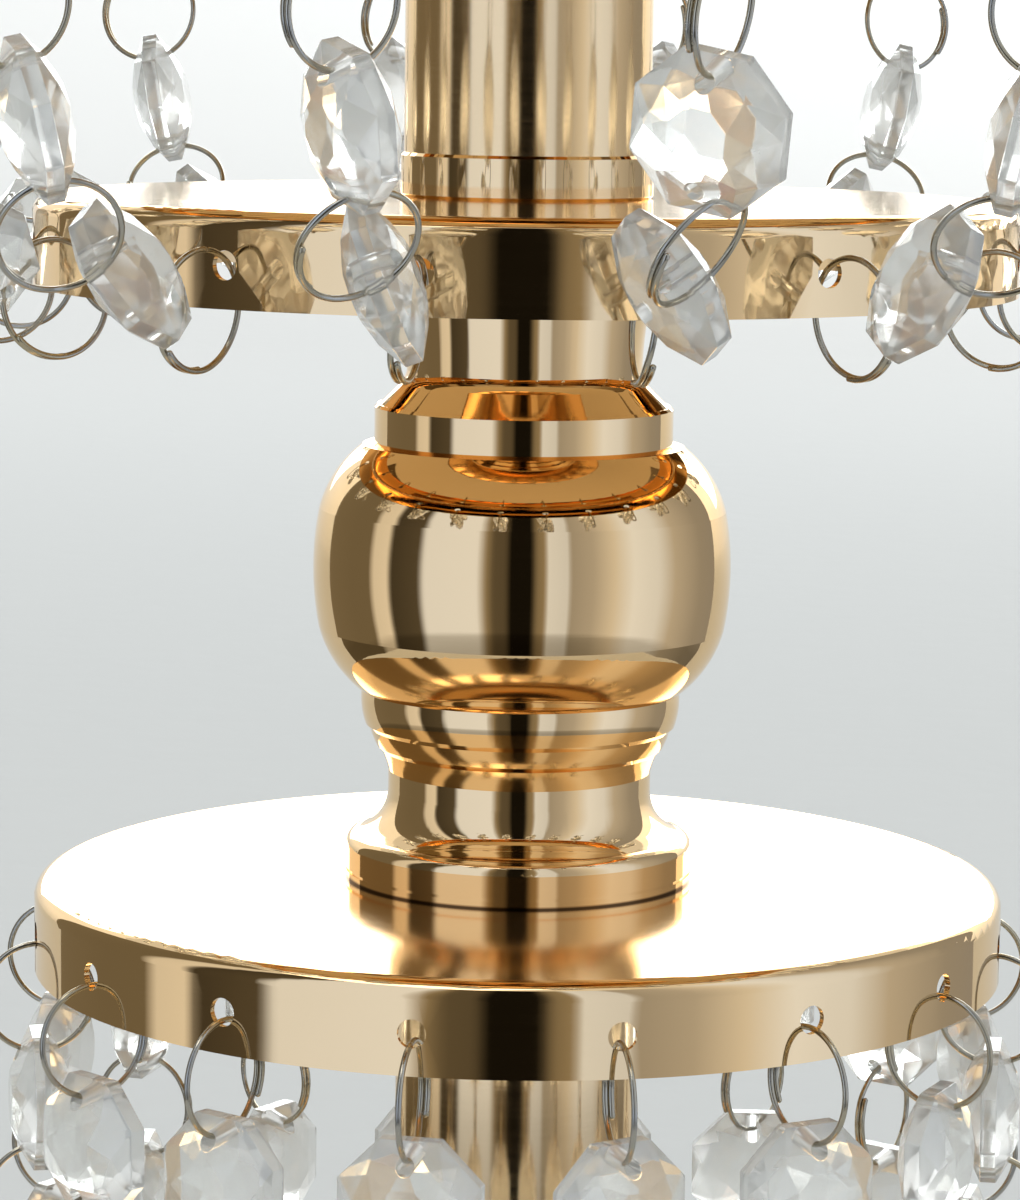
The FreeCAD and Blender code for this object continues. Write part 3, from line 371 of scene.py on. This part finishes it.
def ring_mesh():
    """A ring of wire in the XZ plane, wound a little over one turn, with rounded ends."""
    mesh = bmesh.new()
    wire = WIRE_DIAMETER / 2
    bend = LINK_DIAMETER / 2 - wire - RING_TRIM
    total = round(RING_SEGMENTS * RING_TURNS)
    overlap = RING_TURNS - 1.0
    loops = []
    for i in range(-1, total + 2):
        along = min(max(i, 0), total) / total
        turn = 2 * math.pi * RING_TURNS * (along - 0.5) + math.pi / 2
        # The two ends pass side by side: towards each end the wire steps aside from the ring's plane.
        share = min(1.0, abs(along - 0.5) * 2 * RING_TURNS / (1.0 - overlap))
        side = math.copysign(WIRE_SIDESTEP * WIRE_DIAMETER * share ** 4, along - 0.5)
        thick = wire * (WIRE_END_ROUNDING if i in (-1, total + 1) else 1.0)
        outward = Vector((math.cos(turn), 0, math.sin(turn)))
        centre = outward * bend + Vector((0, side, 0))
        if i in (-1, total + 1):
            forward = Vector((-math.sin(turn), 0, math.cos(turn)))
            centre += forward * (wire * WIRE_END_LENGTH) * (1 if i > 0 else -1)
        loops.append([mesh.verts.new(
            centre + outward * (thick * math.cos(2 * math.pi * k / WIRE_SIDES))
            + Vector((0, thick * math.sin(2 * math.pi * k / WIRE_SIDES), 0)))
            for k in range(WIRE_SIDES)])
    for first, second in zip(loops, loops[1:]):
        for k in range(WIRE_SIDES):
            after = (k + 1) % WIRE_SIDES
            mesh.faces.new((first[k], first[after], second[after], second[k]))
    mesh.faces.new(reversed(loops[0]))
    mesh.faces.new(loops[-1])
    bmesh.ops.recalc_face_normals(mesh, faces=mesh.faces)
    for face in mesh.faces:
        face.smooth = len(face.verts) == 4
    data = bpy.data.meshes.new("ring_form")
    mesh.to_mesh(data)
    mesh.free()
    return data


def separate_solids(node):
    """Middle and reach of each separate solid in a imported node."""
    mesh = bmesh.new()
    mesh.from_mesh(frame["nodes"][node].data)
    bmesh.ops.remove_doubles(mesh, verts=mesh.verts, dist=1e-6)
    left = set(mesh.verts)
    found = []
    while left:
        queue = [left.pop()]
        points = []
        while queue:
            vertex = queue.pop()
            points.append(vertex.co.copy())
            for edge in vertex.link_edges:
                other = edge.other_vert(vertex)
                if other in left:
                    left.remove(other)
                    queue.append(other)
        low = Vector([min(p[i] for p in points) for i in range(3)])
        high = Vector([max(p[i] for p in points) for i in range(3)])
        middle = (low + high) / 2
        found.append((middle, max((p - middle).length for p in points)))
    mesh.free()
    return found


def strand_middles(node, hook):
    """Middles of a strand's links from its hook on: ring, bead, ring, bead..."""
    solids = separate_solids(node)
    solids.sort(key=lambda solid: (solid[0] - hook).length)
    return [middle for middle, reach in solids]


def link_directions(middles):
    """Direction of the chain at each link: across its neighbours, or towards the only one."""
    last = len(middles) - 1
    return [(middles[min(i + 1, last)] - middles[max(i - 1, 0)]).normalized() for i in range(last + 1)]


def place_links(middles, outward, turns, form, wanted):
    """Copies of one form at every second link, turned about the chain by the given angles."""
    tangent = Vector((0, 0, 1)).cross(outward).normalized()
    directions = link_directions(middles)
    mesh = bmesh.new()
    for i, (middle, along, turn) in enumerate(zip(middles, directions, turns)):
        if i % 2 != wanted:
            continue
        across = along.cross(tangent).normalized()
        axes = Matrix((along, tangent, across)).transposed().to_4x4()
        spin = Matrix.Rotation(math.radians(turn), 4, along)
        copy = form.copy()
        copy.transform(Matrix.Translation(middle) @ spin @ axes)
        mesh.from_mesh(copy)
        bpy.data.meshes.remove(copy)
    data = bpy.data.meshes.new("links")
    mesh.to_mesh(data)
    mesh.free()
    return data


def add_piece(name, data, material, body):
    """A new piece that rides on a body and takes its finish from a slot."""
    data.name = name
    data.materials.clear()
    data.materials.append(material)
    piece = bpy.data.objects.new(name, data)
    bpy.context.scene.collection.objects.link(piece)
    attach(piece, body)
    return piece


def build_strands(finishes):
    """Beads and rings of every strand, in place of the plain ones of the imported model."""
    bead = bead_mesh()
    ring = ring_mesh()
    wire = wire_finish()
    chance = random.Random(STRAY_SEED)
    joints = {joint["child"]: joint for joint in frame["joints"]}
    tiers = (("lower", LOWER_TURNS, LOWER_STRAY), ("upper", UPPER_TURNS, UPPER_STRAY))
    for tier, turns, stray in tiers:
        nodes = sorted(node for node in frame["nodes"] if node.startswith(f"{tier}_strand_"))
        for node in nodes:
            body = f"{node}_body"
            hook = Vector(joints[body]["pos_m"])
            outward = Vector((hook.x, hook.y, 0)).normalized()
            middles = strand_middles(node, hook)
            # A strand turns either way, and each link strays a little from the even turn.
            way = chance.choice((-1, 1))
            drift = [chance.uniform(-stray, stray) for _ in turns]
            drift[0] = drift[-1] = 0.0
            angles = [way * turn + off for turn, off in zip(turns, drift)]
            beads = add_piece(f"{node}_beads", place_links(middles, outward, angles, bead, 1),
                              finishes["crystal"], body)
            rings = add_piece(f"{node}_rings", place_links(middles, outward, angles, ring, 0),
                              wire, body)
            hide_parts(node)
            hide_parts(node)
    bpy.data.meshes.remove(bead)
    bpy.data.meshes.remove(ring)


# --- Studio ---

FLOOR_RADIUS = 2.4
WALL_RADIUS = 4.2
WALL_HEIGHT = 3.2
PAPER_GLOW = 0.70
# The paper is painted grey near the object and pale far from it, between these distances: painted shade
# near the object, painted light far off.
PALE_FROM = 0.8
PALE_TO = 4.0
SURROUND_RADIUS = 0.36
SURROUND_HEIGHT = 0.66
SURROUND_SKIRT_RADIUS = 0.25
SURROUND_SKIRT_HEIGHT = 0.012
SURROUND_REACH = 128.0
SURROUND_FADE_HEIGHT = 0.12

# What stands round the object, by the angle from the camera to its right, in degrees:
# angle, brightness, tint. It is seen only in the plating's reflections.
WARM = (0.98, 0.88, 0.66)
PLAIN = (0.96, 1.0, 1.06)
COOL = (0.86, 1.02, 1.36)
SURROUND = [
    (-128, 0.19, WARM), (-104, 0.17, WARM), (-90, 0.17, WARM), (-86, 0.74, PLAIN), (-77, 0.80, PLAIN),
    (-74, 0.06, WARM), (-57, 0.09, WARM), (-53, 0.92, COOL), (-24, 0.95, COOL), (-19, 0.28, WARM),
    (-15, 0.11, WARM), (-9, 0.10, WARM), (-6, 0.008, WARM), (5, 0.008, WARM), (8, 0.22, WARM),
    (12, 0.30, WARM), (14, 0.86, COOL), (24, 0.78, COOL), (26, 0.38, PLAIN), (38, 0.47, PLAIN),
    (50, 0.72, PLAIN), (62, 0.96, COOL), (78, 0.86, COOL), (90, 0.52, PLAIN), (112, 0.34, PLAIN),
    (128, 0.31, PLAIN),
]


def lathe(name, outline, segments, first=0.0, last=360.0):
    """A surface turned round the Z axis from an outline of (radius, height); 0 is towards -Y."""
    mesh = bmesh.new()
    closed = last - first >= 360.0
    columns = []
    for i in range(segments if closed else segments + 1):
        angle = math.radians(first + (last - first) * i / segments)
        columns.append([mesh.verts.new((r * math.sin(angle), -r * math.cos(angle), z))
                        for r, z in outline])
    if closed:
        columns.append(columns[0])
    for one, two in zip(columns, columns[1:]):
        for k in range(len(outline) - 1):
            mesh.faces.new((one[k], two[k], two[k + 1], one[k + 1]))
    for face in mesh.faces:
        face.smooth = True
    data = bpy.data.meshes.new(name)
    mesh.to_mesh(data)
    mesh.free()
    made = bpy.data.objects.new(name, data)
    bpy.context.scene.collection.objects.link(made)
    return made


def seen_only_in_reflections(thing):
    thing.visible_camera = False
    thing.visible_diffuse = False
    thing.visible_shadow = False
    thing.visible_transmission = False


def build_paper():
    """Pale floor that sweeps up into a wall all round."""
    sweep = WALL_RADIUS - FLOOR_RADIUS
    outline = [(0.02, 0.0), (0.4, 0.0), (1.2, 0.0), (FLOOR_RADIUS, 0.0)]
    for i in range(1, 13):
        angle = math.pi / 2 * i / 12
        outline.append((FLOOR_RADIUS + sweep * math.sin(angle), sweep * (1 - math.cos(angle))))
    outline.append((WALL_RADIUS, WALL_HEIGHT))
    paper = lathe("studio_paper", outline, 96)
    material, nodes, shader, place = new_material("studio_paper")
    x, y, z = nodes.split(place)
    away = nodes.spread(nodes.reach(x, y), 0.0, 1.0, PALE_FROM, PALE_TO)
    # Painted shade: the base colour is greyer near the object and paler far from it.
    nodes.put(shader, "Base Color", nodes.blend(
        away, colour(0.48, 0.49, 0.483), colour(0.60, 0.61, 0.605)))
    nodes.put(shader, "Emission Color", colour(1.0, 1.0, 0.99))
    # Painted light: the far side glows, a little more on the right.
    lean = nodes.spread(x, 0.75, 1.25, -0.8, 0.8)
    glow = nodes.math("MULTIPLY", nodes.math("MULTIPLY", away, away), PAPER_GLOW)
    nodes.put(shader, "Emission Strength", nodes.math("MULTIPLY", glow, lean))
    nodes.put(shader, "Roughness", 0.85)
    nodes.put(shader, "Normal", nodes.bump(nodes.noise(place, 60.0, 3.0), 4.0e-4))
    paper.data.materials.append(material)


def build_surround():
    """The dim room with its windows and the dark gap round the camera."""
    outline = [(SURROUND_SKIRT_RADIUS, 0.001), (SURROUND_RADIUS, SURROUND_SKIRT_HEIGHT),
               (SURROUND_RADIUS, SURROUND_HEIGHT)]
    room = lathe("studio_surround", outline, 128, -SURROUND_REACH, SURROUND_REACH)
    material = bpy.data.materials.new("studio_surround")
    material.use_nodes = True
    material.node_tree.nodes.clear()
    nodes = Nodes(material.node_tree)
    place = nodes.add("ShaderNodeTexCoord").outputs["Object"]
    x, y, z = nodes.split(place)
    angle = nodes.math("ARCTAN2", x, nodes.math("MULTIPLY", y, -1.0))
    share = nodes.spread(angle, 0.0, 1.0, -math.pi, math.pi)
    ramp = nodes.add("ShaderNodeValToRGB", {"Fac": share})
    stops = ramp.color_ramp.elements
    for _ in SURROUND[2:]:
        stops.new(0.5)
    for stop, (degrees, brightness, tint) in zip(stops, SURROUND):
        stop.position = degrees / 360.0 + 0.5
        stop.color = colour(*(brightness * part for part in tint))
    climb = nodes.add("ShaderNodeMapRange", {
        "Value": z, "From Min": 0.0, "From Max": SURROUND_FADE_HEIGHT, "To Min": 0.0, "To Max": 1.0})
    fade = nodes.add("ShaderNodeValToRGB", {"Fac": climb.outputs["Result"]})
    low, high = fade.color_ramp.elements
    low.color = colour(0.50, 0.48, 0.44)
    low.position = 0.06
    middle = fade.color_ramp.elements.new(0.2)
    middle.color = colour(0.78, 0.77, 0.75)
    high.color = colour(1.0, 1.0, 1.0)
    shade = nodes.add("ShaderNodeMix", data_type="RGBA", blend_type="MULTIPLY")
    nodes.put(shade, "Factor", 1.0)
    nodes.put(shade, 6, ramp.outputs["Color"])
    nodes.put(shade, 7, fade.outputs["Color"])
    glow = nodes.add("ShaderNodeEmission", {"Color": shade.outputs[2]})
    output = nodes.add("ShaderNodeOutputMaterial")
    nodes.put(output, "Surface", glow.outputs["Emission"])
    room.data.materials.append(material)
    seen_only_in_reflections(room)


def add_softbox(name, place, target, size, power, tint, lights_the_room=True):
    """A rectangular area light that faces a point."""
    light = bpy.data.lights.new(name, "AREA")
    light.shape = "RECTANGLE"
    light.size, light.size_y = size
    light.energy = power
    light.color = tint
    lamp = bpy.data.objects.new(name, light)
    lamp.location = place
    lamp.rotation_euler = (Vector(target) - Vector(place)).to_track_quat("-Z", "Y").to_euler()
    lamp.visible_camera = False
    lamp.visible_diffuse = lights_the_room
    bpy.context.scene.collection.objects.link(lamp)


def build_light():
    """A pale sky, a large window behind, and a soft light above."""
    world = bpy.data.worlds.new("studio_air")
    bpy.context.scene.world = world
    world.use_nodes = True
    backdrop = world.node_tree.nodes["Background"]
    backdrop.inputs["Color"].default_value = colour(0.96, 0.985, 1.0)
    backdrop.inputs["Strength"].default_value = 0.78
    add_softbox("back_window", (0.2, 2.3, 1.0), (0, 0, 0.15), (3.0, 1.3), 48.0, (0.93, 0.98, 1.0), False)
    add_softbox("top_softbox", (-0.5, -0.4, 1.7), (0, 0, 0.1), (1.2, 1.2), 9.0, (1.0, 0.99, 0.97))


def build_camera():
    camera = bpy.data.cameras.new("photo_camera")
    camera.lens = CAMERA_LENS
    camera.sensor_width = SENSOR
    camera.clip_start = 0.01
    camera.clip_end = 50.0
    holder = bpy.data.objects.new("photo_camera", camera)
    tilt = Matrix.Rotation(math.radians(90.0 - CAMERA_PITCH), 4, "X")
    roll = Matrix.Rotation(math.radians(CAMERA_ROLL), 4, "Z")
    place = Matrix.Translation((CAMERA_SIDE, -CAMERA_DISTANCE, CAMERA_HEIGHT))
    holder.matrix_world = place @ tilt @ roll
    bpy.context.scene.collection.objects.link(holder)
    bpy.context.scene.camera = holder


def build_studio():
    build_paper()
    build_surround()
    build_light()
    build_camera()
    view = bpy.context.scene.view_settings
    view.view_transform = "Standard"
    view.look = "None"


finishes = all_finishes()
dress_nodes(finishes)
build_strands(finishes)
build_studio()
